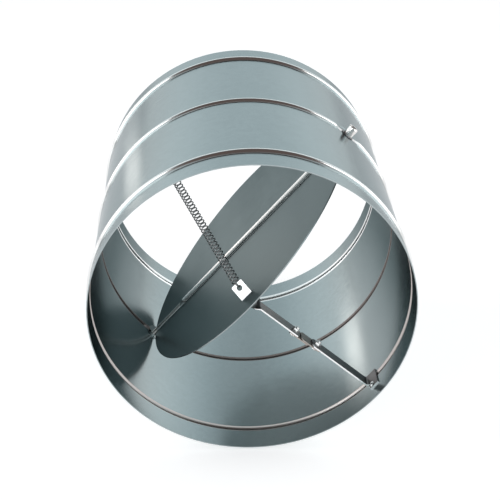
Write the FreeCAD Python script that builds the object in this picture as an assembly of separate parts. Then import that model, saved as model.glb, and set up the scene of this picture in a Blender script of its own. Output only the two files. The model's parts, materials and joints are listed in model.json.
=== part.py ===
import FreeCAD, Part
import math
import os

# Round fire damper, in millimetres.
# The duct runs along Y and its front opening faces -Y.  The axle crosses the duct at the origin.
# Every piece is drawn in the axle's own frame: X along the axle, Y along the duct and Z square to
# the open blade, on the spring's side.  turned() then tilts it to the way the damper lies.

# Casing
nominal_bore = 315.0
spigot_slack = 0.5
casing_length = 315.0
casing_sheet = 1.0
bead_from_end = 30.0
bead_width = 8.0
bead_height = 2.5
middle_bead_width = 7.0
middle_bead_height = 2.2
pad_radius = 12.0
pad_sink = 0.15
bead_runout = 8.0
axle_tilt = 50.0

# Axle and its bushes
axle_diameter = 6.0
running_clearance = 0.05
bush_diameter = 10.5
bush_stand = 10.5
bush_chamfer = 0.6
axle_recess = 2.5
bush_flange_diameter = 18.0
bush_flange_thickness = 1.5
ring_diameter = 14.5
ring_thickness = 0.8
ring_slots = 6
ring_slot_width = 1.2

# Blade
blade_sheet = 1.2
blade_side_play = 0.5
blade_rest_angle = 2.5
ridge_half_length = 112.0
trough_start = 124.0
press_ramp = 6.0

# Tie between the blade and the fusible link, with the spring's tab on its upper end
tie_from_axle = 126.5
tie_width = 14.0
tie_sheet = 1.4
tab_height = 16.0
tab_lean = 34.0
tab_hole_diameter = 6.0
tab_hole_height = 10.6
tab_corner = 1.5
slot_length = 18.5
slot_width = 2.4
shoulder_length = 21.0
shoulder_height = 2.5
shoulder_clearance = 0.1
twist_length = 14.0
twist_steps = 4

# Fusible link
link_centre_depth = 71.0
link_hole_spacing = 28.0
link_plate_length = 26.0
link_plate_width = 14.0
link_sheet = 1.2
link_corner = 2.5
link_edge = 6.0
solder_thickness = 0.15
solder_margin = 1.0
link_parting = 0.02

# M4 screws and nuts of the link
screw_diameter = 4.0
screw_hole_slack = 0.15
head_diameter = 7.2
head_height = 3.0
head_chamfer = 0.5
screw_slot_width = 1.2
screw_slot_depth = 1.1
nut_across_flats = 7.0
nut_thickness = 3.2
screw_end = 1.8

# Foot of the wall tie and its rivet, and the two brackets welded to the wall
foot_length = 15.0
foot_bend = 2.0
foot_ear = 8.0
rivet_diameter = 3.2
rivet_hole_slack = 0.1
rivet_head_diameter = 6.4
rivet_head_height = 1.3
foot_rivet_from_bend = 5.0
foot_rivet_from_edge = 4.5
bracket_width = 20.0
bracket_sheet = 1.2
bracket_foot = 14.0
stop_height = 11.0
stop_gap = 0.3
anchor_from_end = 56.5
anchor_lean = 30.0
anchor_length = 20.0
anchor_hole_place = 14.5
anchor_hole_diameter = 6.0

# Tension spring
spring_diameter = 9.0
spring_wire = 1.3
hook_seat = 1.6
sleeve_margin = 0.1
hook_leg = 1.5

# Sizes that follow
casing_radius = nominal_bore/2 - spigot_slack
inner_radius = casing_radius - casing_sheet
half_length = casing_length/2
bead_place = half_length - bead_from_end
anchor_from_axle = half_length - anchor_from_end
axle_radius = axle_diameter/2
channel_radius = axle_radius + running_clearance
bush_radius = bush_diameter/2
pad_face = math.sqrt(casing_radius**2 - pad_radius**2) - pad_sink
bush_end = pad_face + bush_stand
flange_face = pad_face - casing_sheet - bush_flange_thickness
blade_radius = flange_face - blade_side_play
blade_height = tie_from_axle*math.sin(math.radians(blade_rest_angle))
screw_hole_radius = screw_diameter/2 + screw_hole_slack
upper_hole = -link_centre_depth + link_hole_spacing/2
lower_hole = -link_centre_depth - link_hole_spacing/2
plate_low_x = -tie_sheet/2 - link_sheet
solder_x = plate_low_x + link_sheet + link_parting
lower_plate_x = solder_x + solder_thickness
wall_tie_x = lower_plate_x + link_sheet
hook_radius = (spring_diameter - spring_wire)/2 - sleeve_margin
sleeve_bore = spring_diameter/2 - spring_wire - 2*sleeve_margin

X = FreeCAD.Vector(1, 0, 0)
Y = FreeCAD.Vector(0, 1, 0)
Z = FreeCAD.Vector(0, 0, 1)
ORIGIN = FreeCAD.Vector(0, 0, 0)


def point(x, y, z):
    return FreeCAD.Vector(x, y, z)


def box(low, high):
    size = [b - a for a, b in zip(low, high)]
    return Part.makeBox(size[0], size[1], size[2], point(*low))


def cylinder(radius, start, axis, length):
    return Part.makeCylinder(radius, length, start, axis)


def along_axle(radius, low, high):
    return cylinder(radius, point(low, 0, 0), X, high - low)


def prism(corners, depth):
    """A flat outline drawn through its corners and pushed along depth."""
    wire = Part.makePolygon(corners + [corners[0]])
    return Part.Face(wire).extrude(depth)


def turned(shape):
    """The shape as the damper lies, its axle tilted from level."""
    shape = shape.copy()
    shape.rotate(ORIGIN, Y, -axle_tilt)
    return shape


def leaned(shape):
    """The shape turned with the blade to where the link holds it."""
    shape = shape.copy()
    shape.rotate(ORIGIN, X, -blade_rest_angle)
    return shape


def bead_arcs(radius, width, height, place):
    """Points of a bead on the outside, and of the same bead inside the sheet."""
    roll = (width**2/4 + height**2)/(2*height)
    inner_roll = roll - casing_sheet
    centre = radius + height - roll
    reach = math.sqrt(inner_roll**2 - (radius - casing_sheet - centre)**2)
    outer = [(radius, place - width/2), (radius + height, place), (radius, place + width/2)]
    low = radius - casing_sheet
    inner = [(low, place + reach), (low + height, place), (low, place - reach)]
    return outer, inner


def profile_arc(points):
    """A rolled arc of the sheet, as a spline that follows it."""
    return Part.Arc(*[point(r, y, 0) for r, y in points]).toBSpline().toShape()


def profile_line(start, end):
    return Part.makeLine(point(start[0], start[1], 0), point(end[0], end[1], 0))


def spun(edges):
    """A closed profile of radius and place, turned about the duct's axis."""
    face = Part.Face(Part.Wire(Part.__sortEdges__(edges)))
    return face.revolve(ORIGIN, Y, 360)


def rolled_tube():
    """The sheet tube with its three rolled beads."""
    beads = [
        bead_arcs(casing_radius, bead_width, bead_height, -bead_place),
        bead_arcs(casing_radius, middle_bead_width, middle_bead_height, 0),
        bead_arcs(casing_radius, bead_width, bead_height, bead_place),
    ]
    edges = []
    last_outer = (casing_radius, -half_length)
    last_inner = (inner_radius, -half_length)
    edges.append(profile_line(last_inner, last_outer))
    for outer, inner in beads:
        edges.append(profile_line(last_outer, outer[0]))
        edges.append(profile_arc(outer))
        edges.append(profile_line(last_inner, inner[2]))
        edges.append(profile_arc(inner))
        last_outer = outer[2]
        last_inner = inner[0]
    edges.append(profile_line(last_outer, (casing_radius, half_length)))
    edges.append(profile_line(last_inner, (inner_radius, half_length)))
    edges.append(profile_line((inner_radius, half_length), (casing_radius, half_length)))
    return spun(edges)


def solid_middle_bead():
    """The middle bead with its groove filled, for the ends where it runs out."""
    outer, inner = bead_arcs(casing_radius, middle_bead_width, middle_bead_height, 0)
    start = (inner_radius, outer[0][1])
    end = (inner_radius, outer[2][1])
    edges = [profile_arc(outer), profile_line(outer[2], end), profile_line(end, start)]
    edges.append(profile_line(start, outer[0]))
    return spun(edges)


def runout_cone(side, depth):
    """The dish that the middle bead fades into, round an axle end."""
    height = middle_bead_height + 3*casing_sheet
    slope = bead_runout/middle_bead_height
    start = point(side*(pad_face - depth), 0, 0)
    return Part.makeCone(pad_radius, pad_radius + slope*height, height, start, X*side)


def foot_rivet_hole():
    """The hole through the wall and the tie's foot for their rivet."""
    start = point(0, foot_rivet_place(), 0)
    return at_foot(cylinder(rivet_diameter/2 + rivet_hole_slack, start, Z, casing_radius*2))


def at_foot(shape):
    """A shape built on the wall at +Z, moved round the casing to the rivet of the tie's foot."""
    arc = wall_tie_x + tie_sheet + foot_rivet_from_bend
    shape = shape.copy()
    shape.rotate(ORIGIN, Y, 180 - math.degrees(arc/casing_radius))
    return shape


def foot_front():
    return -tie_from_axle - tie_width/2 - foot_ear


def foot_rivet_place():
    return foot_front() + foot_rivet_from_edge


def make_casing():
    casing = rolled_tube()
    filled = solid_middle_bead()
    for side in (-1, 1):
        dish = runout_cone(side, 0)
        end = filled.common(runout_cone(side, casing_sheet)).cut(dish)
        start = point(side*(pad_face - casing_sheet), 0, 0)
        pad = cylinder(pad_radius, start, X*side, casing_sheet)
        casing = casing.cut(dish).fuse(end).fuse(pad)
    reach = casing_radius + bead_height
    casing = casing.cut(along_axle(bush_radius, -reach, reach))
    return casing.cut(foot_rivet_hole()).removeSplitter()


def make_bush(side):
    """A flanged sleeve, pushed out through the wall from inside."""
    flange_back = flange_face + bush_flange_thickness
    outline = [
        (flange_face, channel_radius),
        (flange_face, bush_flange_diameter/2),
        (flange_back, bush_flange_diameter/2),
        (flange_back, bush_radius),
        (bush_end - bush_chamfer, bush_radius),
        (bush_end, bush_radius - bush_chamfer),
        (bush_end, channel_radius),
    ]
    corners = [point(side*x, r, 0) for x, r in outline]
    wire = Part.makePolygon(corners + [corners[0]])
    return Part.Face(wire).revolve(ORIGIN, X, 360)


def make_retaining_ring(side):
    """A push-on ring with springy teeth, which holds the bush against the wall."""
    start = point(side*pad_face, 0, 0)
    ring = cylinder(ring_diameter/2, start, X*side, ring_thickness)
    ring = ring.cut(cylinder(bush_radius, start, X*side, ring_thickness))
    reach = (bush_radius + ring_diameter/2)/2
    half = ring_slot_width/2
    for index in range(ring_slots):
        low = min(side*pad_face, side*(pad_face + ring_thickness))
        slot = box((low, -half, 0), (low + ring_thickness, half, reach))
        slot.rotate(ORIGIN, X, 360*index/ring_slots)
        ring = ring.cut(slot)
    return ring


def make_axle():
    half = bush_end - axle_recess
    return along_axle(axle_radius, -half, half)


def pressed_half_pipe(start, end, side, ramp_at_end):
    """Half of a round pressing over the axle; side is 1 towards the spring or -1 away from it."""
    radius = channel_radius + blade_sheet
    pipe = along_axle(radius, start, end)
    last = end - press_ramp if ramp_at_end else end
    corners = [(start, 0), (start + press_ramp, side*radius), (last, side*radius), (end, 0)]
    if start < 0 and not ramp_at_end:
        corners = [(start, 0), (start, side*radius), (end - press_ramp, side*radius), (end, 0)]
    outline = [point(x, -radius, z) for x, z in corners]
    return pipe.common(prism(outline, Y*(2*radius)))


def make_blade():
    """A round disc with the axle woven through it: over the middle it is pressed up, at the ends down."""
    disc = cylinder(blade_radius, point(0, 0, -blade_sheet/2), Z, blade_sheet)
    ridge = pressed_half_pipe(-ridge_half_length, ridge_half_length, 1, True)
    right = pressed_half_pipe(trough_start, blade_radius, -1, False)
    left = pressed_half_pipe(-blade_radius, -trough_start, -1, False)
    reach = channel_radius + 2*blade_sheet
    rim = cylinder(blade_radius, point(0, 0, -reach), Z, 2*reach)
    blade = disc.fuse(ridge).fuse(right.common(rim)).fuse(left.common(rim))
    blade = blade.cut(along_axle(channel_radius, -blade_radius, blade_radius))
    low = (-slot_length/2, -tie_from_axle - slot_width/2, -blade_sheet)
    high = (slot_length/2, -tie_from_axle + slot_width/2, blade_sheet)
    blade = blade.cut(box(low, high))
    return leaned(blade.removeSplitter())


def rounded_plate(half_width, bottom, top, radius):
    """Corners of a plate seen along Y, its two upper corners rounded."""
    arcs = []
    for side in (1, -1):
        centre = (side*(half_width - radius), top - radius)
        mid = radius*math.sqrt(0.5)
        arcs.append([
            (side*half_width, centre[1]),
            (centre[0] + side*mid, centre[1] + mid),
            (centre[0], top),
        ])
    right, left = arcs
    edges = [
        Part.makeLine(point(half_width, 0, bottom), point(right[0][0], 0, right[0][1])),
        Part.Arc(*[point(x, 0, z) for x, z in right]).toShape(),
        Part.makeLine(point(right[2][0], 0, top), point(left[2][0], 0, top)),
        Part.Arc(*[point(x, 0, z) for x, z in left]).toShape(),
        Part.makeLine(point(-half_width, 0, left[0][1]), point(-half_width, 0, bottom)),
        Part.makeLine(point(-half_width, 0, bottom), point(half_width, 0, bottom)),
    ]
    return Part.Face(Part.Wire(Part.__sortEdges__(edges)))


def spring_tab():
    """The ear that stands up through the blade and leans back to the spring."""
    face = rounded_plate(tie_width/2, 0, tab_height, tab_corner)
    tab = face.extrude(Y*tie_sheet)
    hole_start = point(0, -tie_sheet, tab_hole_height)
    tab = tab.cut(cylinder(tab_hole_diameter/2, hole_start, Y, 3*tie_sheet))
    tab.translate(point(0, -tie_sheet/2, 0))
    tab.rotate(ORIGIN, X, -tab_lean)
    tab.translate(point(0, -tie_from_axle, tab_base()))
    return tab


def tab_base():
    return blade_height + blade_sheet/2


def shoulder_top():
    """The shoulders bear on the blade's far face, whose leaning front edge stands a little lower."""
    lean = math.radians(blade_rest_angle)
    face = blade_height - blade_sheet/2/math.cos(lean)
    return face - slot_width*math.tan(lean) - shoulder_clearance


def twist(top):
    """A quarter turn in the strip, from facing the opening to facing along the axle."""
    wires = []
    for step in range(twist_steps + 1):
        angle = math.pi/2*step/twist_steps
        z = top - twist_length*step/twist_steps
        corners = []
        for a, b in ((1, 1), (-1, 1), (-1, -1), (1, -1)):
            u = a*tie_width/2
            v = b*tie_sheet/2
            x = u*math.cos(angle) - v*math.sin(angle)
            y = -tie_from_axle + u*math.sin(angle) + v*math.cos(angle)
            corners.append(point(x, y, z))
        wires.append(Part.makePolygon(corners + [corners[0]]))
    return Part.makeLoft(wires, True, True)


def strip_with_corners(x, sheet, half_width, low, high, corner_low, corner_high):
    """A flat strip facing along the axle, with its corners cut off at either end."""
    y = -tie_from_axle
    corners = [
        (y - half_width + corner_low, low),
        (y + half_width - corner_low, low),
        (y + half_width, low + corner_low),
        (y + half_width, high - corner_high),
        (y + half_width - corner_high, high),
        (y - half_width + corner_high, high),
        (y - half_width, high - corner_high),
        (y - half_width, low + corner_low),
    ]
    outline = []
    for corner in corners:
        place = point(x, corner[0], corner[1])
        if not outline or place.distanceToPoint(outline[-1]) > 1e-6:
            outline.append(place)
    if outline[0].distanceToPoint(outline[-1]) < 1e-6:
        outline.pop()
    return prism(outline, X*sheet)


def link_hole(height):
    start = point(-head_diameter, -tie_from_axle, height)
    return cylinder(screw_hole_radius, start, X, 2*head_diameter)


def make_blade_tie():
    """One strip: spring tab, neck through the blade's slot, shoulders, twist and link end."""
    top = shoulder_top()
    below = top - shoulder_height
    half = tie_sheet/2
    y = -tie_from_axle
    neck = box((-tie_width/2, y - half, below), (tie_width/2, y + half, tab_base()))
    shoulders = box((-shoulder_length/2, y - half, below), (shoulder_length/2, y + half, top))
    strip = strip_with_corners(
        -half, tie_sheet, tie_width/2,
        upper_hole - link_edge, below - twist_length, link_corner, 0)
    bend = cylinder(half, point(-tie_width/2, y, tab_base()), X, tie_width)
    tie = neck.fuse(bend).fuse(shoulders).fuse(twist(below)).fuse(strip).fuse(spring_tab())
    return tie.cut(link_hole(upper_hole)).removeSplitter()


def make_link_plate(x, hole, overlap_side):
    """One half of the link; overlap_side is -1 where it reaches down over the other half."""
    outer = hole - overlap_side*link_edge
    inner = outer + overlap_side*link_plate_length
    low = min(outer, inner)
    plate = strip_with_corners(
        x, link_sheet, link_plate_width/2, low, low + link_plate_length, link_corner, link_corner)
    return plate.cut(link_hole(hole))


def make_solder():
    """The film of fusible alloy between the two halves of the link."""
    upper_end = upper_hole + link_edge - link_plate_length
    lower_end = lower_hole - link_edge + link_plate_length
    half = link_plate_width/2 - solder_margin
    return strip_with_corners(
        solder_x, solder_thickness, half,
        upper_end + solder_margin, lower_end - solder_margin, link_corner, link_corner)


def make_screw(head_face, nut_face, height):
    """A slotted cheese-head screw along the axle's direction."""
    end = nut_face + nut_thickness + screw_end
    y = -tie_from_axle
    rim = head_height - head_chamfer
    head = cylinder(head_diameter/2, point(head_face - rim, y, height), X, rim)
    top = point(head_face - head_height, y, height)
    cap = Part.makeCone(head_diameter/2 - head_chamfer, head_diameter/2, head_chamfer, top, X)
    head = head.fuse(cap)
    half = screw_slot_width/2
    slot = box(
        (head_face - head_height, y - head_diameter, height - half),
        (head_face - head_height + screw_slot_depth, y + head_diameter, height + half))
    start = point(head_face - head_height/2, y, height)
    shank = cylinder(screw_diameter/2, start, X, end - head_face + head_height/2)
    return head.cut(slot).fuse(shank)


def make_nut(face, height):
    """A hexagon nut with its outer corners taken off."""
    radius = nut_across_flats/2/math.cos(math.pi/6)
    corners = []
    for index in range(6):
        angle = math.pi/3*index
        y = -tie_from_axle + radius*math.cos(angle)
        corners.append(point(face, y, height + radius*math.sin(angle)))
    body = prism(corners, X*nut_thickness)
    axis = point(face, -tie_from_axle, height)
    crown_radius = nut_across_flats/2 + nut_thickness
    crown = Part.makeCone(crown_radius, nut_across_flats/2, nut_thickness, axis, X)
    body = body.common(crown)
    return body.cut(cylinder(screw_diameter/2, axis, X, nut_thickness))


def make_wall_tie():
    """The strip from the link down to the wall, with its foot bent to lie round the wall."""
    y = -tie_from_axle - tie_width/2
    foot_radius = inner_radius
    centre_x = wall_tie_x + tie_sheet + foot_bend
    bend_height = foot_bend - math.sqrt((foot_radius - tie_sheet)**2 - centre_x**2)
    strip = strip_with_corners(
        wall_tie_x, tie_sheet, tie_width/2,
        bend_height, lower_hole + link_edge, 0, link_corner)
    centre = point(centre_x, y, bend_height)
    outer = foot_bend + tie_sheet
    elbow = cylinder(outer, centre, Y, tie_width).cut(cylinder(foot_bend, centre, Y, tie_width))
    corner_low = (centre_x - outer, y, bend_height - outer)
    elbow = elbow.common(box(corner_low, (centre_x, y + tie_width, bend_height)))
    front = point(0, foot_front(), 0)
    width = tie_width + foot_ear
    shell = cylinder(foot_radius, front, Y, width)
    shell = shell.cut(cylinder(foot_radius - tie_sheet, front, Y, width))
    foot_end = wall_tie_x + foot_length
    foot = shell.common(box((centre_x, front.y, -casing_radius), (foot_end, front.y + width, 0)))
    tie = strip.fuse(elbow).fuse(foot)
    tie = tie.cut(link_hole(lower_hole))
    return tie.cut(foot_rivet_hole()).removeSplitter()


def make_foot_rivet():
    """A rivet set from inside: domed head, and a shank flush with the spigot that a duct slides over."""
    radius = rivet_head_diameter/2
    shank = rivet_diameter/2
    seat = math.sqrt((inner_radius - tie_sheet)**2 - radius**2)
    crown = seat - rivet_head_height
    middle = radius*math.sqrt(0.5)
    dome = (radius**2 + rivet_head_height**2)/(2*rivet_head_height)
    sagged = crown + dome - math.sqrt(dome**2 - middle**2)
    head_edge = Part.Arc(point(0, 0, crown), point(middle, 0, sagged), point(radius, 0, seat)).toShape()
    top = math.sqrt(casing_radius**2 - shank**2)
    corners = [
        point(radius, 0, seat),
        point(shank, 0, seat),
        point(shank, 0, top),
        point(0, 0, top),
        point(0, 0, crown),
    ]
    outline = Part.Wire([head_edge] + Part.makePolygon(corners).Edges)
    rivet = Part.Face(outline).revolve(ORIGIN, Z, 360)
    rivet.translate(point(0, foot_rivet_place(), 0))
    return at_foot(rivet)


def make_bracket(front, leg):
    """A bracket on the spring's side: a foot that follows the wall it is welded to, and a leg."""
    half = bracket_width/2
    end = front + bracket_sheet + bracket_foot
    shell = cylinder(inner_radius, point(0, front, 0), Y, end - front)
    shell = shell.cut(cylinder(inner_radius - bracket_sheet, point(0, front, 0), Y, end - front))
    foot = shell.common(box((-half, front, 0), (half, end, inner_radius)))
    inside = cylinder(inner_radius, point(0, front - anchor_length, 0), Y, 2*anchor_length)
    return foot.fuse(leg.common(inside)).removeSplitter()


def make_blade_stop():
    """An angle whose leg stands across the duct, just behind the closed blade."""
    half = bracket_width/2
    front = blade_sheet/2 + stop_gap
    leg = box((-half, front, inner_radius - stop_height), (half, front + bracket_sheet, inner_radius))
    return make_bracket(front, leg)


def make_spring_anchor():
    """A lug whose leg leans off the wall towards the blade, with a hole for the spring's hook."""
    leg = box((-bracket_width/2, -anchor_length, -bracket_sheet), (bracket_width/2, 0, 0))
    start = point(0, -anchor_hole_place, -2*bracket_sheet)
    leg = leg.cut(cylinder(anchor_hole_diameter/2, start, Z, 3*bracket_sheet))
    leg.rotate(ORIGIN, X, anchor_lean)
    leg.translate(point(0, anchor_from_axle, inner_radius))
    return make_bracket(anchor_from_axle, leg)


def hook_on_tab():
    """Where the spring's wire crosses the tab's hole, near the hole's upper edge."""
    lean = math.radians(tab_lean)
    along = tab_hole_height + tab_hole_diameter/2 - hook_seat
    y = -tie_from_axle + along*math.sin(lean)
    return point(0, y, tab_base() + along*math.cos(lean))


def hook_on_anchor():
    """Where the spring's wire crosses the lug's hole, near the edge towards the blade."""
    lean = math.radians(anchor_lean)
    along = anchor_hole_place + anchor_hole_diameter/2 - hook_seat
    deep = bracket_sheet/2
    y = anchor_from_axle - along*math.cos(lean) + deep*math.sin(lean)
    return point(0, y, inner_radius - along*math.sin(lean) - deep*math.cos(lean))


def hook(centre, outward):
    """The open loop at a spring's end, on two short legs that stand out from the coils."""
    loop = Part.makeTorus(hook_radius, spring_wire/2, centre, X)
    loop = loop.common(cylinder(spring_diameter, centre, outward, spring_diameter))
    across = X.cross(outward)
    for side in (-1, 1):
        start = centre + across*(side*hook_radius) - outward*hook_leg
        loop = loop.fuse(cylinder(spring_wire/2, start, outward, hook_leg))
    return loop


def make_spring():
    """The spring as long as it is with the blade open: a sleeve as wide as its coils, with its hooks."""
    start = hook_on_anchor()
    end = hook_on_tab()
    along = end.sub(start)
    along.normalize()
    first = start + along*hook_radius
    last = end - along*hook_radius
    start = first + along*hook_leg
    length = last.sub(first).Length - 2*hook_leg
    body = cylinder(spring_diameter/2, start, along, length)
    body = body.cut(cylinder(sleeve_bore, start, along, length))
    return body.fuse(hook(first, along*-1)).fuse(hook(last, along))


def export(name, shape):
    placed = turned(shape)
    if not placed.isValid():
        raise ValueError(name + " is not a valid solid")
    placed.exportStep("parts/" + name + ".step")
    print(name, "solids", len(placed.Solids), "volume", round(placed.Volume, 2))


def main():
    os.makedirs("parts", exist_ok=True)
    nodes = {
        "casing": make_casing(),
        "bush_right": make_bush(1),
        "bush_left": make_bush(-1),
        "retaining_ring_right": make_retaining_ring(1),
        "retaining_ring_left": make_retaining_ring(-1),
        "axle": make_axle(),
        "blade": make_blade(),
        "blade_tie": make_blade_tie(),
        "link_plate_blade_side": make_link_plate(plate_low_x, upper_hole, -1),
        "link_plate_wall_side": make_link_plate(lower_plate_x, lower_hole, 1),
        "link_solder": make_solder(),
        "link_screw_blade_side": make_screw(plate_low_x, tie_sheet/2, upper_hole),
        "link_nut_blade_side": make_nut(tie_sheet/2, upper_hole),
        "link_screw_wall_side": make_screw(lower_plate_x, wall_tie_x + tie_sheet, lower_hole),
        "link_nut_wall_side": make_nut(wall_tie_x + tie_sheet, lower_hole),
        "wall_tie": make_wall_tie(),
        "wall_tie_rivet": make_foot_rivet(),
        "blade_stop": make_blade_stop(),
        "spring_anchor": make_spring_anchor(),
        "spring": make_spring(),
    }
    for name, shape in nodes.items():
        export(name, shape)


main()
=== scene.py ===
import json
import math

import bpy
from bpy.props import FloatProperty, FloatVectorProperty, IntProperty, PointerProperty
from mathutils import Matrix, Vector


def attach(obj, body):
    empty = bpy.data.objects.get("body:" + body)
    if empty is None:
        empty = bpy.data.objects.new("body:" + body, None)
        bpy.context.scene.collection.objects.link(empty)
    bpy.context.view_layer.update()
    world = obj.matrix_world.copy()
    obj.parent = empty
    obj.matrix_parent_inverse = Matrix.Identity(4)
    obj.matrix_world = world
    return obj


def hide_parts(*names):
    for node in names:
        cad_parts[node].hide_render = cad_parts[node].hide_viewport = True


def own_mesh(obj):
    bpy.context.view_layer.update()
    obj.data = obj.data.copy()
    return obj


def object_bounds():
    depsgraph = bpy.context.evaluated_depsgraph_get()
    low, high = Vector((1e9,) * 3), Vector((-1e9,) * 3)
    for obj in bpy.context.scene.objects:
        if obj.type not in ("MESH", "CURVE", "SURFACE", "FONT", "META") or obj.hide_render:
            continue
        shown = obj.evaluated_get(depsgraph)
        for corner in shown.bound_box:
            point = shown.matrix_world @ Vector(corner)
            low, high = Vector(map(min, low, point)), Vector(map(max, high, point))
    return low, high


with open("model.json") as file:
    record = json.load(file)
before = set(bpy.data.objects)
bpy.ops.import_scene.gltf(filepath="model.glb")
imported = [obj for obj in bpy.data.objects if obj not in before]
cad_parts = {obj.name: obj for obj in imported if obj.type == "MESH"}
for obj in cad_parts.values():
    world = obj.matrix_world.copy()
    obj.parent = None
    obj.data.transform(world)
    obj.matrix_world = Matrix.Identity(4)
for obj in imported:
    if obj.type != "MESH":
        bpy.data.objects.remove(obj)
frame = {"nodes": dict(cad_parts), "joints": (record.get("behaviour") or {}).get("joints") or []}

bl_info = {
    "name": "Round Fire Damper",
    "version": (1, 0, 0),
    "blender": (4, 5, 0),
    "location": "View3D > Sidebar > Damper",
    "description": "Dresses the round fire damper: its metals, the coiled spring and the studio",
    "category": "Object",
}

CAD_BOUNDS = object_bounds()

# Directions in the damper. The open blade stands a little off the duct's axis, in degrees
AXLE_TILT = math.radians(50.0)
ALONG_AXLE = Vector((math.cos(AXLE_TILT), 0.0, math.sin(AXLE_TILT)))
SPRING_SIDE = Vector((-math.sin(AXLE_TILT), 0.0, math.cos(AXLE_TILT)))
ALONG_DUCT = Vector((0.0, 1.0, 0.0))
BLADE_REST = 2.5

# Rolled beads of the casing: place along the duct and half width, in metres
FRONT_BEAD = (-0.1275, 0.0042)
MIDDLE_BEAD = (0.0, 0.0040)
REAR_BEAD = (0.1275, 0.0042)
REAR_GROOVE = (0.1275, 0.0062)
BEAD_EDGE = 0.0006
GROOVE_EDGE = 0.001

# Half-round pressing over the axle, in metres: half its length, the fade at its ends, and the
# height over the blade's middle where its painted highlight starts and fades in. Flatness is a
# share
RIDGE_HALF_LENGTH = 0.104
RIDGE_END = 0.002
RIDGE_FOOT = 0.00072
RIDGE_BLEND = 0.0002
RIDGE_FLATNESS = 0.93

# Pattern of the zinc: how tight its parts lie, how much each one shows and how far it is seen
SPANGLE_SCALE = 220.0
PATCH_SCALE = 14.0
STREAK_STRETCH = (26.0, 2.5, 26.0)
DENT_SCALE = 30.0
DENT_DEPTH = 0.0004
DENT_STRENGTH = 0.12
SPANGLE_SHARE = 0.22
PATCH_SHARE = 0.4
STREAK_SHARE = 0.6
MOTTLE_RANGE = (0.35, 0.85)
MOTTLE_CONTRAST = 0.06

# Plated and drawn metal: how tight the tarnish lies and how deep the fine lines are
TARNISH_SCALE = 90.0
LINE_DEPTH = 0.00005
LINE_STRENGTH = 0.4

# Edge tints of zinc at a grazing angle: the plain one, and a darker one that paints shade on the
# casing's inside and on the blade
PLAIN_ZINC_TINT = (0.55, 0.58, 0.59)
SHADED_ZINC_TINT = (0.19, 0.213, 0.217)

# Colours of metals: painted highlights on the ridge, the beads, the rear groove and the strips'
# bare sheared edges, a painted brownish reflection in the front groove, painted shade in the
# middle groove and on the axle's bare ends, and plain drawn, turned and ring steel and solder
RIDGE_HIGHLIGHT = (1.0, 0.99, 0.97)
BEAD_HIGHLIGHT_ZINC = (0.78, 0.78, 0.77)
REAR_GROOVE_HIGHLIGHT = (0.93, 0.92, 0.91)
FRONT_GROOVE_REFLECTION = (0.5, 0.46, 0.44)
MIDDLE_GROOVE_SHADE = (0.21, 0.18, 0.17)
SHEARED_EDGE_SHEEN = (0.97, 0.97, 0.97)
DRAWN_STEEL = (0.85, 0.84, 0.82)
AXLE_END_SHADE = (0.06, 0.055, 0.05)
TURNED_STEEL = (0.85, 0.82, 0.8)
RING_STEEL = (0.22, 0.22, 0.23)
SOLDER = (0.5, 0.5, 0.5)

# Grain of a metal: how tight its noise lies along and across the axle's direction
DRAWN_GRAIN = (40.0, 900.0, 900.0)
TURNED_GRAIN = (500.0, 60.0, 60.0)
EVEN_GRAIN = (300.0, 300.0, 300.0)

# Spring's wire: sides of its section, steps in a coil and in a hook, and how far each is swept
WIRE_SIDES = 10
COIL_STEPS = 20
HOOK_STEPS = 18
COIL_SWEEP = math.radians(-360.0)
HOOK_SWEEP = math.radians(200.0)
SMOOTH_ANGLE = math.radians(40.0)

# Softboxes: name, place, size, share of the main lamp's power and colour
WHITE = (1.0, 1.0, 1.0)
SOFTBOXES = (
    ("softbox_left", (-2.2, 0.1, 1.0), (1.3, 2.0), 1.0, WHITE),
    ("softbox_right", (2.2, 0.2, 1.2), (1.3, 2.2), 1.0, WHITE),
    ("card_behind", (-0.6, 1.0, 0.0), (0.1, 0.16), 0.0052, (1.0, 0.88, 0.82)),
    ("softbox_front", (-1.6, -2.2, 0.9), (0.5, 0.9), 0.3, WHITE),
)

# What the camera and metal see round the damper, from the white horizon to the dark ceiling
SURROUNDINGS = (
    (0.02, (1.0, 1.0, 1.0, 1.0)),
    (0.22, (0.9, 0.97, 0.99, 1.0)),
    (0.5, (0.515, 0.605, 0.635, 1.0)),
    (0.78, (0.085, 0.065, 0.06, 1.0)),
)
SURROUNDINGS_STRENGTH = 1.3
SOFT_LIGHT = (0.9, 0.95, 1.0, 1.0)
SOFT_STRENGTH = 0.35

# Floor: its own colour, and the glow that makes it white where it is seen
FLOOR_COLOUR = (0.8, 0.8, 0.8, 1.0)
FLOOR_GLOW = 0.6

# Camera: which way it looks and which way is right in its picture
CAMERA_FORWARD = (0.04676, 0.87728, -0.47772)
CAMERA_RIGHT = (0.99891, -0.04106, 0.02236)
SENSOR_WIDTH = 36.0
NEAREST_SEEN = 0.01


def joint_named(name):
    """Finds a joint of the frame."""
    for joint in frame["joints"]:
        if joint["name"] == name:
            return joint
    raise RuntimeError("The frame has no joint " + name)


def turned_about_axle(vector, degrees):
    """Turns a vector with the blade, positive as the blade closes."""
    return Matrix.Rotation(math.radians(degrees), 3, -ALONG_AXLE) @ vector


class DamperSpringSettings(bpy.types.PropertyGroup):
    """Sizes of the tension spring"""

    coil_diameter: FloatProperty(
        name="Coil diameter", description="Outside diameter of the coils", default=0.009,
        unit="LENGTH")
    wire_diameter: FloatProperty(
        name="Wire diameter", description="Diameter of the spring's wire", default=0.0013,
        unit="LENGTH")
    turns: IntProperty(
        name="Turns", description="Number of coils between the hooks", default=53, min=3)
    tab_hook_back: FloatProperty(
        name="Hook ahead of axle",
        description="Place of the tab's hook along the duct, before the axle",
        default=0.11979, unit="LENGTH")
    tab_hook_height: FloatProperty(
        name="Hook height", description="Height of the tab's hook above the axle's plane",
        default=0.016066, unit="LENGTH")


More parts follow.
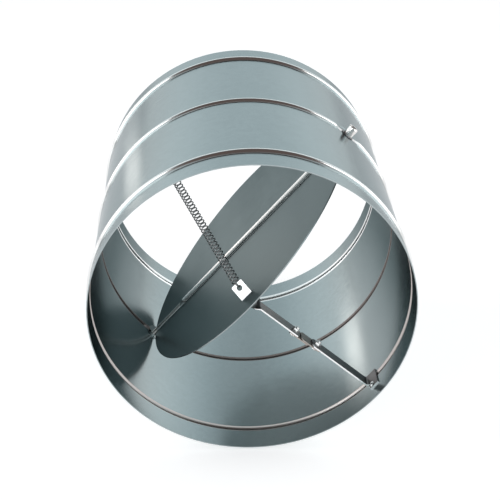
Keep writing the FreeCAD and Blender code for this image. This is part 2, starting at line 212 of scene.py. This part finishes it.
class DamperMetalSettings(bpy.types.PropertyGroup):
    """Colours of the damper's metals"""

    casing_colour: FloatVectorProperty(
        name="Casing", description="Colour of the galvanised casing", subtype="COLOR",
        default=(0.4, 0.448, 0.454), min=0.0, max=1.0)
    blade_colour: FloatVectorProperty(
        name="Blade", description="Colour of the galvanised blade", subtype="COLOR",
        default=(0.335, 0.375, 0.38), min=0.0, max=1.0)
    # The strips' own colour, darkened to paint the dark reflection their flat faces show
    tie_colour_and_shade: FloatVectorProperty(
        name="Ties", description="Colour of the strips' flat faces", subtype="COLOR",
        default=(0.25, 0.24, 0.24), min=0.0, max=1.0)
    link_colour: FloatVectorProperty(
        name="Link", description="Colour of the fusible link's plates", subtype="COLOR",
        default=(0.42, 0.38, 0.35), min=0.0, max=1.0)
    fastener_colour: FloatVectorProperty(
        name="Fasteners", description="Colour of screws, nuts and rivets", subtype="COLOR",
        default=(0.98, 0.98, 0.97), min=0.0, max=1.0)
    spring_colour: FloatVectorProperty(
        name="Spring", description="Colour of the spring's wire", subtype="COLOR",
        default=(0.38, 0.38, 0.38), min=0.0, max=1.0)
    casing_roughness: FloatProperty(
        name="Casing roughness", description="Roughness of the galvanised sheet", subtype="FACTOR",
        default=0.19, min=0.0, max=1.0)


class DamperStageSettings(bpy.types.PropertyGroup):
    """Floor, lamps and camera"""

    floor_size: FloatProperty(
        name="Floor size", description="Width of the floor", default=30.0, unit="LENGTH")
    lamp_power: FloatProperty(
        name="Lamp power", description="Power of the main lamp", default=20.0)
    camera_place: FloatVectorProperty(
        name="Camera place", description="Where the camera stands", subtype="TRANSLATION",
        default=(-0.0515, -1.0410, 0.5525), unit="LENGTH")
    lens: FloatProperty(
        name="Lens", description="Focal length of the camera in millimetres", default=79.2)


def socket(node, name, value):
    """Sets a plain value on one of a node's sockets."""
    node.inputs[name].default_value = value


def new_material(name):
    """Starts a material with one shader."""
    material = bpy.data.materials.new(name)
    material.use_nodes = True
    tree = material.node_tree
    tree.nodes.clear()
    output = tree.nodes.new("ShaderNodeOutputMaterial")
    shader = tree.nodes.new("ShaderNodeBsdfPrincipled")
    tree.links.new(shader.outputs["BSDF"], output.inputs["Surface"])
    return material, tree, shader


def noise(tree, coordinates, scale, detail):
    """Cloudy noise from nothing to one."""
    node = tree.nodes.new("ShaderNodeTexNoise")
    socket(node, "Scale", scale)
    socket(node, "Detail", detail)
    tree.links.new(coordinates, node.inputs["Vector"])
    return node.outputs["Fac"]


def stretched(tree, coordinates, scale, turn=(0.0, 0.0, 0.0)):
    """Squeezes the coordinates for streaks, turned first to the way the streaks run."""
    node = tree.nodes.new("ShaderNodeMapping")
    node.vector_type = "TEXTURE"
    socket(node, "Rotation", turn)
    tree.links.new(coordinates, node.inputs["Vector"])
    squeeze = tree.nodes.new("ShaderNodeMapping")
    socket(squeeze, "Scale", scale)
    tree.links.new(node.outputs["Vector"], squeeze.inputs["Vector"])
    return squeeze.outputs["Vector"]


def remapped(tree, value, low, high, from_low=0.3, from_high=0.7):
    """Maps a value from one range to another and keeps it inside."""
    node = tree.nodes.new("ShaderNodeMapRange")
    socket(node, "From Min", from_low)
    socket(node, "From Max", from_high)
    socket(node, "To Min", low)
    socket(node, "To Max", high)
    tree.links.new(value, node.inputs["Value"])
    return node.outputs["Result"]


def fed(tree, port, source):
    """Feeds a socket from another node, or sets it to a plain value."""
    if isinstance(source, bpy.types.NodeSocket):
        tree.links.new(source, port)
    else:
        port.default_value = source


def mixed(tree, kind, factor, first, second):
    """Mixes two values of one kind, each another node's or plain."""
    node = tree.nodes.new("ShaderNodeMix")
    node.data_type = kind
    used = [port for port in node.inputs if port.enabled]
    for port, source in zip(used, (factor, first, second)):
        fed(tree, port, source)
    return next(port for port in node.outputs if port.enabled)


def tinted(tree, factor, first, second):
    """Blends two colours."""
    return mixed(tree, "RGBA", factor, (*first, 1.0), (*second, 1.0))


def bumped(tree, shader, height, distance, strength):
    """Roughens a surface a little by a height."""
    node = tree.nodes.new("ShaderNodeBump")
    socket(node, "Strength", strength)
    socket(node, "Distance", distance)
    tree.links.new(height, node.inputs["Height"])
    tree.links.new(node.outputs["Normal"], shader.inputs["Normal"])


def object_coordinates(tree):
    """Places on the piece, in metres."""
    return tree.nodes.new("ShaderNodeTexCoord").outputs["Object"]


def calculated(tree, operation, *terms):
    """A calculation whose terms are other nodes' values or plain numbers."""
    node = tree.nodes.new("ShaderNodeMath")
    node.operation = operation
    for port, term in zip(node.inputs, terms):
        fed(tree, port, term)
    return node.outputs["Value"]


def scaled_colour(colour, factor):
    """Makes a colour lighter or darker."""
    return tuple(min(1.0, channel*factor) for channel in colour)


def galvanised(name, colour, roughness, edge_tint):
    """Zinc-coated sheet: faint spangle, cloudy patches and light handling marks."""
    material, tree, shader = new_material(name)
    where = object_coordinates(tree)
    spangles = tree.nodes.new("ShaderNodeTexVoronoi")
    socket(spangles, "Scale", SPANGLE_SCALE)
    tree.links.new(where, spangles.inputs["Vector"])
    grey = tree.nodes.new("ShaderNodeSeparateColor")
    tree.links.new(spangles.outputs["Color"], grey.inputs["Color"])
    patches = noise(tree, where, PATCH_SCALE, 4.0)
    streaks = noise(tree, stretched(tree, where, STREAK_STRETCH), 1.0, 2.0)
    cloudy = calculated(tree, "MULTIPLY", patches, PATCH_SHARE)
    streaky = calculated(tree, "MULTIPLY", streaks, STREAK_SHARE)
    clouds = calculated(tree, "ADD", cloudy, streaky)
    zinc = calculated(tree, "MULTIPLY_ADD", grey.outputs["Red"], SPANGLE_SHARE, clouds)
    factor = remapped(tree, zinc, 0.0, 1.0, *MOTTLE_RANGE)
    darker = scaled_colour(colour, 1.0 - MOTTLE_CONTRAST)
    lighter = scaled_colour(colour, 1.0 + MOTTLE_CONTRAST)
    tree.links.new(tinted(tree, factor, darker, lighter), shader.inputs["Base Color"])
    rough = remapped(tree, zinc, roughness - 0.03, roughness + 0.04, *MOTTLE_RANGE)
    tree.links.new(rough, shader.inputs["Roughness"])
    socket(shader, "Metallic", 1.0)
    socket(shader, "Specular Tint", (*edge_tint, 1.0))
    dents = noise(tree, where, DENT_SCALE, 2.0)
    bumped(tree, shader, dents, DENT_DEPTH, DENT_STRENGTH)
    return material


def distance_from(tree, coordinates, direction):
    """How far a place or a normal reaches along a direction."""
    node = tree.nodes.new("ShaderNodeVectorMath")
    node.operation = "DOT_PRODUCT"
    node.inputs[1].default_value = tuple(direction)
    tree.links.new(coordinates, node.inputs[0])
    return node.outputs["Value"]


def principled(material):
    """A material's one shader."""
    return next(node for node in material.node_tree.nodes if node.type == "BSDF_PRINCIPLED")


def flattened(material, mask, direction, amount):
    """Evens out the shading where pressing has left the sheet flatter than a half round."""
    tree = material.node_tree
    face = tree.nodes.new("ShaderNodeVectorTransform")
    face.vector_type = "NORMAL"
    face.convert_from = "OBJECT"
    face.convert_to = "WORLD"
    face.inputs[0].default_value = tuple(direction)
    share = calculated(tree, "MULTIPLY", mask, amount)
    normal = tree.nodes.new("ShaderNodeNewGeometry").outputs["Normal"]
    even = tree.nodes.new("ShaderNodeVectorMath")
    even.operation = "NORMALIZE"
    tree.links.new(mixed(tree, "VECTOR", share, normal, face.outputs["Vector"]), even.inputs[0])
    bump = principled(material).inputs["Normal"].links[0].from_node
    tree.links.new(even.outputs["Vector"], bump.inputs["Normal"])


def finish_or_painted_light(material, mask, colour, roughness):
    """Gives the masked part of a metal a finish of its own, or painted light or shade, with a
    white edge tint.
    """
    tree = material.node_tree
    finish = (
        ("Base Color", "RGBA", (*colour, 1.0)),
        ("Roughness", "FLOAT", roughness),
        ("Specular Tint", "RGBA", (*WHITE, 1.0)),
    )
    for name, kind, value in finish:
        port = principled(material).inputs[name]
        before = port.links[0].from_socket if port.is_linked else port.default_value
        tree.links.new(mixed(tree, kind, mask, before, value), port)


def ridge_mask(material, face):
    """One on the half-round pressing over the axle, which stands up from the blade's face."""
    tree = material.node_tree
    where = object_coordinates(tree)
    along = calculated(tree, "ABSOLUTE", distance_from(tree, where, ALONG_AXLE))
    inside = remapped(tree, along, 1.0, 0.0, RIDGE_HALF_LENGTH - RIDGE_END, RIDGE_HALF_LENGTH)
    height = distance_from(tree, where, face)
    raised = remapped(tree, height, 0.0, 1.0, RIDGE_FOOT, RIDGE_FOOT + RIDGE_BLEND)
    return calculated(tree, "MULTIPLY", inside, raised)


def facing(tree, low, high, from_low, from_high):
    """Maps how far a face of the casing looks away from the duct's axis."""
    radial = tree.nodes.new("ShaderNodeVectorMath")
    radial.operation = "MULTIPLY"
    radial.inputs[1].default_value = (1.0, 0.0, 1.0)
    tree.links.new(object_coordinates(tree), radial.inputs[0])
    away = tree.nodes.new("ShaderNodeVectorMath")
    away.operation = "DOT_PRODUCT"
    tree.links.new(radial.outputs["Vector"], away.inputs[0])
    tree.links.new(tree.nodes.new("ShaderNodeTexCoord").outputs["Normal"], away.inputs[1])
    return remapped(tree, away.outputs["Value"], low, high, from_low, from_high)


def faces_along(material, direction, low, high):
    """One on the faces that look along a direction, either way."""
    tree = material.node_tree
    normal = tree.nodes.new("ShaderNodeTexCoord").outputs["Normal"]
    along = calculated(tree, "ABSOLUTE", distance_from(tree, normal, direction))
    return remapped(tree, along, 0.0, 1.0, low, high)


def shaded_axle_ends(material):
    """One on the axle's two end faces, painted near black as the shade down the bushes' bores."""
    return faces_along(material, ALONG_AXLE, 0.9, 0.95)


def sheared_edges(material):
    """One on a strip's narrow edges, which look along the duct."""
    return faces_along(material, ALONG_DUCT, 0.6, 0.75)


def bead_mask(material, beads, edge):
    """One on the given beads, each a place along the duct and a half width."""
    tree = material.node_tree
    place = distance_from(tree, object_coordinates(tree), ALONG_DUCT)
    total = None
    for centre, half_width in beads:
        away = calculated(tree, "ABSOLUTE", calculated(tree, "SUBTRACT", place, centre))
        band = remapped(tree, away, 1.0, 0.0, half_width - edge, half_width)
        total = band if total is None else calculated(tree, "MAXIMUM", total, band)
    return total


def bright_metal(name, colour, roughness, grain=DRAWN_GRAIN, tarnish=0.08, metallic=1.0):
    """Plated or drawn metal with fine lines along the piece and a slight tarnish."""
    material, tree, shader = new_material(name)
    where = object_coordinates(tree)
    lines = noise(tree, stretched(tree, where, grain, (0.0, -AXLE_TILT, 0.0)), 1.0, 3.0)
    patches = noise(tree, where, TARNISH_SCALE, 3.0)
    factor = remapped(tree, patches, 0.0, 1.0)
    tarnished = tinted(tree, factor, scaled_colour(colour, 1.0 - tarnish), colour)
    tree.links.new(tarnished, shader.inputs["Base Color"])
    rough = remapped(tree, lines, roughness - 0.05, roughness + 0.08)
    tree.links.new(rough, shader.inputs["Roughness"])
    socket(shader, "Metallic", metallic)
    bumped(tree, shader, lines, LINE_DEPTH, LINE_STRENGTH)
    return material


def dress(node, material):
    """Gives a CAD node its finish."""
    obj = frame["nodes"][node]
    obj.data.materials.clear()
    obj.data.materials.append(material)


def deselect():
    """Leaves edit mode with nothing selected."""
    if bpy.context.mode != "OBJECT":
        bpy.ops.object.mode_set(mode="OBJECT")
    bpy.ops.object.select_all(action="DESELECT")


def applied(obj):
    """Puts a piece's place into its mesh."""
    deselect()
    obj.select_set(True)
    bpy.context.view_layer.objects.active = obj
    bpy.ops.object.transform_apply(location=True, rotation=True, scale=True)
    deselect()


class DAMPER_OT_sheet_metal(bpy.types.Operator):
    """Finish the casing, the blade, the stop and the spring's lug as galvanised sheet, with
    painted highlights, reflections and shade on the beads, grooves, ridge and the duct's inside
    """

    bl_idname = "damper.sheet_metal"
    bl_label = "Sheet metal"

    def execute(self, context):
        look = context.scene.damper_metals
        rough = look.casing_roughness
        casing = galvanised("galvanised_casing", look.casing_colour, rough, PLAIN_ZINC_TINT)
        bracket = galvanised("galvanised_bracket", look.casing_colour, rough, PLAIN_ZINC_TINT)
        # The blade takes the darker edge tint: painted shade inside the duct
        blade = galvanised("galvanised_blade", look.blade_colour, rough + 0.12, SHADED_ZINC_TINT)

        face = turned_about_axle(SPRING_SIDE, BLADE_REST)
        ridge = ridge_mask(blade, face)
        # The pressing is painted near white: a painted highlight
        finish_or_painted_light(blade, ridge, RIDGE_HIGHLIGHT, 0.25)
        flattened(blade, ridge, face, RIDGE_FLATNESS)

        tree = casing.node_tree
        outside = facing(tree, 0.0, 1.0, 0.0, 0.02)
        inside = facing(tree, 1.0, 0.0, -0.02, 0.0)
        # The casing's inside takes the darker edge tint: painted shade
        edge_tint = tinted(tree, outside, SHADED_ZINC_TINT, PLAIN_ZINC_TINT)
        tree.links.new(edge_tint, principled(casing).inputs["Specular Tint"])
        # Bands on the beads and grooves: painted highlights on the beads' outside and in the rear
        # groove, a painted brownish reflection in the front groove and painted shade in the middle
        # groove; the beads' lower roughness is the rolled sheet's own
        bead_light_and_shade = (
            ((FRONT_BEAD, MIDDLE_BEAD, REAR_BEAD), BEAD_EDGE, outside, BEAD_HIGHLIGHT_ZINC, 0.16),
            # Inside the rear groove: a painted highlight
            ((REAR_GROOVE,), GROOVE_EDGE, inside, REAR_GROOVE_HIGHLIGHT, 0.25),
            # Inside the front groove: a painted brownish reflection
            ((FRONT_BEAD,), BEAD_EDGE, inside, FRONT_GROOVE_REFLECTION, 0.3),
            # Inside the middle groove: painted shade
            ((MIDDLE_BEAD,), BEAD_EDGE, inside, MIDDLE_GROOVE_SHADE, 0.4),
        )
        for beads, edge, side, colour, roughness in bead_light_and_shade:
            mask = calculated(tree, "MULTIPLY", bead_mask(casing, beads, edge), side)
            finish_or_painted_light(casing, mask, colour, roughness)
        dress("casing", casing)
        dress("blade", blade)
        for node in ("blade_stop", "spring_anchor"):
            dress(node, bracket)
        return {"FINISHED"}


class DAMPER_OT_fittings(bpy.types.Operator):
    """Finish the axle, bushes, ties, link, screws, nuts and rivets, with painted shade on the
    axle's ends, painted highlights on the ties' edges and a painted dark reflection on their faces
    """

    bl_idname = "damper.fittings"
    bl_label = "Fittings"

    def execute(self, context):
        look = context.scene.damper_metals
        # Strip faces darkened: a painted dark reflection
        strip = bright_metal("strip", look.tie_colour_and_shade, 0.34)
        # The strips' sheared edges are bare steel made near white: a painted highlight along them
        finish_or_painted_light(strip, sheared_edges(strip), SHEARED_EDGE_SHEEN, 0.25)
        rod = bright_metal("drawn_rod", DRAWN_STEEL, 0.27)
        # The axle's end faces are painted near black: shade in the bushes' bores
        finish_or_painted_light(rod, shaded_axle_ends(rod), AXLE_END_SHADE, 0.6)
        bush = bright_metal("turned_bush", TURNED_STEEL, 0.15, TURNED_GRAIN)
        ring = bright_metal("ring_steel", RING_STEEL, 0.4)
        link = bright_metal("link_plate", look.link_colour, 0.38)
        solder = bright_metal("solder_film", SOLDER, 0.5)
        zinc = bright_metal(
            "zinc_plating", look.fastener_colour, 0.2, EVEN_GRAIN, tarnish=0.04, metallic=0.75)
        rivet = bright_metal("rivet_alloy", look.fastener_colour, 0.32, EVEN_GRAIN)
        finishes = {
            "blade_tie": strip, "wall_tie": strip, "axle": rod,
            "bush_right": bush, "bush_left": bush,
            "retaining_ring_right": ring, "retaining_ring_left": ring,
            "link_plate_blade_side": link, "link_plate_wall_side": link,
            "link_solder": solder,
            "link_screw_blade_side": zinc, "link_screw_wall_side": zinc,
            "link_nut_blade_side": zinc, "link_nut_wall_side": zinc,
            "wall_tie_rivet": rivet,
        }
        for node, finish in finishes.items():
            dress(node, finish)
        return {"FINISHED"}


def spring_ends(spring):
    """The wire's place in the lug's hole and in the tab's hole."""
    lug = Vector(joint_named("spring_swing")["pos_m"])
    tab = SPRING_SIDE*spring.tab_hook_height - ALONG_DUCT*spring.tab_hook_back
    return lug, tab


def wire_ring(radius, wire, name):
    """A circle of wire section standing at the coil's radius, ready to be screwed round."""
    deselect()
    origin = (0.0, 0.0, 0.0)
    bpy.ops.mesh.primitive_circle_add(vertices=WIRE_SIDES, radius=wire/2, location=origin)
    ring = bpy.context.active_object
    ring.name = name
    bpy.ops.object.mode_set(mode="EDIT")
    bpy.ops.mesh.select_all(action="SELECT")
    quarter = math.radians(90.0)
    bpy.ops.transform.rotate(value=quarter, orient_axis="X", center_override=origin)
    bpy.ops.transform.translate(value=(radius, 0.0, 0.0))
    bpy.ops.object.mode_set(mode="OBJECT")
    return ring


def screwed(obj, angle, rise, turns, steps):
    """Sweeps a section round the Z axis, rising as it goes."""
    screw = obj.modifiers.new("Coils", "SCREW")
    screw.axis = "Z"
    screw.angle = angle
    screw.screw_offset = rise
    screw.iterations = turns
    screw.steps = steps
    screw.render_steps = steps
    screw.use_merge_vertices = False
    bpy.context.view_layer.objects.active = obj
    bpy.ops.object.modifier_apply(modifier=screw.name)


def capped(obj):
    """Closes the two open ends of a swept wire and points its faces outwards."""
    bpy.context.view_layer.objects.active = obj
    bpy.ops.object.mode_set(mode="EDIT")
    bpy.ops.mesh.select_all(action="SELECT")
    bpy.ops.mesh.remove_doubles(threshold=1e-6)
    bpy.ops.mesh.select_all(action="DESELECT")
    bpy.ops.mesh.select_mode(type="EDGE")
    bpy.ops.mesh.select_non_manifold()
    bpy.ops.mesh.edge_face_add()
    bpy.ops.mesh.select_all(action="SELECT")
    bpy.ops.mesh.normals_make_consistent(inside=False)
    bpy.ops.object.mode_set(mode="OBJECT")
    deselect()


def smoothed(obj):
    """Shades the wire round and keeps its cut ends crisp."""
    deselect()
    obj.select_set(True)
    bpy.context.view_layer.objects.active = obj
    bpy.ops.object.shade_smooth_by_angle(angle=SMOOTH_ANGLE)
    deselect()


def half_hook(radius, wire, name):
    """The loop that stands out from the end coil, seen along Z, its plane holding the X axis."""
    hook = wire_ring(radius, wire, name)
    screwed(hook, HOOK_SWEEP, 0.0, 1, HOOK_STEPS)
    capped(hook)
    return hook


class DAMPER_OT_spring(bpy.types.Operator):
    """Wind the tension spring from the lug to the tab, with a hook at each end"""

    bl_idname = "damper.spring"
    bl_label = "Tension spring"

    def execute(self, context):
        spring = context.scene.damper_spring
        look = context.scene.damper_metals
        lug, tab = spring_ends(spring)
        along = (tab - lug).normalized()
        length = (tab - lug).length
        radius = (spring.coil_diameter - spring.wire_diameter)/2
        coil_length = length - 2*radius
        pitch = coil_length/spring.turns

        coil = wire_ring(radius, spring.wire_diameter, "tension_spring")
        screwed(coil, COIL_SWEEP, pitch, spring.turns, COIL_STEPS)
        capped(coil)
        near = half_hook(radius, spring.wire_diameter, "near_hook")
        near.rotation_euler = (math.radians(-90.0), 0.0, 0.0)
        applied(near)
        far = half_hook(radius, spring.wire_diameter, "far_hook")
        far.rotation_euler = (math.radians(90.0), 0.0, 0.0)
        far.location = (0.0, 0.0, coil_length)
        applied(far)

        for obj in (coil, near, far):
            obj.select_set(True)
        context.view_layer.objects.active = coil
        bpy.ops.object.join()
        upright = along.cross(ALONG_AXLE).normalized()
        turn = Matrix((upright, ALONG_AXLE, along)).transposed().to_4x4()
        coil.matrix_world = Matrix.Translation(lug + along*radius) @ turn
        applied(coil)
        smoothed(coil)
        wire = bright_metal("drawn_wire", look.spring_colour, 0.3, EVEN_GRAIN)
        coil.data.materials.clear()
        coil.data.materials.append(wire)

        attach(coil, "spring")
        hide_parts("spring")
        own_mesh(coil)
        return {"FINISHED"}


def light(name, location, size, power, colour):
    """Hangs a softbox that faces the damper."""
    data = bpy.data.lights.new(name, "AREA")
    data.shape = "RECTANGLE"
    data.size = size[0]
    data.size_y = size[1]
    data.energy = power
    data.color = colour
    lamp = bpy.data.objects.new(name, data)
    bpy.context.scene.collection.objects.link(lamp)
    lamp.location = location
    lamp.rotation_euler = (-Vector(location)).to_track_quat("-Z", "Y").to_euler()


def background_rays(tree):
    """One where a ray comes from the camera, a mirror-like surface or glass."""
    rays = tree.nodes.new("ShaderNodeLightPath")
    total = rays.outputs["Is Camera Ray"]
    for name in ("Is Transmission Ray", "Is Glossy Ray"):
        sum_of_rays = tree.nodes.new("ShaderNodeMath")
        sum_of_rays.operation = "ADD"
        sum_of_rays.use_clamp = True
        tree.links.new(total, sum_of_rays.inputs[0])
        tree.links.new(rays.outputs[name], sum_of_rays.inputs[1])
        total = sum_of_rays.outputs["Value"]
    return total


def floor_material():
    """Pale floor: near white to the camera, with the damper's soft shadow kept."""
    material = bpy.data.materials.new("pale_floor")
    material.use_nodes = True
    tree = material.node_tree
    tree.nodes.clear()
    output = tree.nodes.new("ShaderNodeOutputMaterial")
    diffuse = tree.nodes.new("ShaderNodeBsdfDiffuse")
    socket(diffuse, "Color", FLOOR_COLOUR)
    glow = tree.nodes.new("ShaderNodeEmission")
    strength = calculated(tree, "MULTIPLY", background_rays(tree), FLOOR_GLOW)
    tree.links.new(strength, glow.inputs["Strength"])
    total = tree.nodes.new("ShaderNodeAddShader")
    tree.links.new(diffuse.outputs["BSDF"], total.inputs[0])
    tree.links.new(glow.outputs["Emission"], total.inputs[1])
    tree.links.new(total.outputs["Shader"], output.inputs["Surface"])
    return material


def studio_world():
    """Even soft light, while the camera and metal see a white backdrop under a dark ceiling."""
    world = bpy.data.worlds.new("studio")
    world.use_nodes = True
    tree = world.node_tree
    tree.nodes.clear()
    output = tree.nodes.new("ShaderNodeOutputWorld")
    height = tree.nodes.new("ShaderNodeSeparateXYZ")
    direction = tree.nodes.new("ShaderNodeTexCoord").outputs["Generated"]
    tree.links.new(direction, height.inputs["Vector"])
    ceiling = tree.nodes.new("ShaderNodeValToRGB")
    stops = ceiling.color_ramp.elements
    stops.remove(stops[1])
    stops[0].position, stops[0].color = SURROUNDINGS[0]
    for position, colour in SURROUNDINGS[1:]:
        stops.new(position).color = colour
    tree.links.new(height.outputs["Z"], ceiling.inputs["Fac"])
    seen = tree.nodes.new("ShaderNodeBackground")
    tree.links.new(ceiling.outputs["Color"], seen.inputs["Color"])
    socket(seen, "Strength", SURROUNDINGS_STRENGTH)
    soft = tree.nodes.new("ShaderNodeBackground")
    socket(soft, "Color", SOFT_LIGHT)
    socket(soft, "Strength", SOFT_STRENGTH)
    chosen = tree.nodes.new("ShaderNodeMixShader")
    tree.links.new(background_rays(tree), chosen.inputs["Fac"])
    tree.links.new(soft.outputs["Background"], chosen.inputs[1])
    tree.links.new(seen.outputs["Background"], chosen.inputs[2])
    tree.links.new(chosen.outputs["Shader"], output.inputs["Surface"])
    return world


class DAMPER_OT_stage(bpy.types.Operator):
    """Lay the floor, hang the softboxes and set the camera"""

    bl_idname = "damper.stage"
    bl_label = "Stage"

    def execute(self, context):
        stage = context.scene.damper_stage
        deselect()
        under = (0.0, 0.0, CAD_BOUNDS[0][2])
        bpy.ops.mesh.primitive_plane_add(size=stage.floor_size, location=under)
        floor = context.active_object
        floor.name = "floor"
        floor.data.materials.append(floor_material())
        applied(floor)

        for name, place, size, share, colour in SOFTBOXES:
            light(name, place, size, stage.lamp_power*share, colour)
        context.scene.world = studio_world()

        data = bpy.data.cameras.new("camera")
        data.lens = stage.lens
        data.sensor_width = SENSOR_WIDTH
        data.clip_start = NEAREST_SEEN
        camera = bpy.data.objects.new("camera", data)
        context.scene.collection.objects.link(camera)
        forward = Vector(CAMERA_FORWARD).normalized()
        right = Vector(CAMERA_RIGHT).normalized()
        up = right.cross(forward)
        turn = Matrix((right, up, -forward)).transposed().to_4x4()
        camera.matrix_world = Matrix.Translation(Vector(stage.camera_place)) @ turn
        context.scene.camera = camera
        context.scene.view_settings.view_transform = "Standard"
        return {"FINISHED"}


class DAMPER_PT_panel(bpy.types.Panel):
    """Sizes, colours and steps of the damper's visual model"""

    bl_idname = "DAMPER_PT_panel"
    bl_label = "Round Fire Damper"
    bl_space_type = "VIEW_3D"
    bl_region_type = "UI"
    bl_category = "Damper"

    def draw(self, context):
        layout = self.layout
        for group_name in GROUPS:
            group = getattr(context.scene, group_name)
            box = layout.box()
            for name in group.__annotations__:
                box.prop(group, name)
        for step in STEPS:
            layout.operator(step.bl_idname)


STEPS = (DAMPER_OT_sheet_metal, DAMPER_OT_fittings, DAMPER_OT_spring, DAMPER_OT_stage)
GROUPS = {
    "damper_spring": DamperSpringSettings,
    "damper_metals": DamperMetalSettings,
    "damper_stage": DamperStageSettings,
}


def register():
    """Makes the settings, operators and panel known to Blender."""
    for group in GROUPS.values():
        bpy.utils.register_class(group)
    for name, group in GROUPS.items():
        setattr(bpy.types.Scene, name, PointerProperty(type=group))
    for step in STEPS:
        bpy.utils.register_class(step)
    bpy.utils.register_class(DAMPER_PT_panel)


def unregister():
    """Takes them away again."""
    bpy.utils.unregister_class(DAMPER_PT_panel)
    for step in reversed(STEPS):
        bpy.utils.unregister_class(step)
    for name, group in GROUPS.items():
        delattr(bpy.types.Scene, name)
        bpy.utils.unregister_class(group)


def main():
    """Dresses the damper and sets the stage."""
    register()
    bpy.ops.damper.sheet_metal()
    bpy.ops.damper.fittings()
    bpy.ops.damper.spring()
    bpy.ops.damper.stage()


if __name__ == "__main__":
    main()
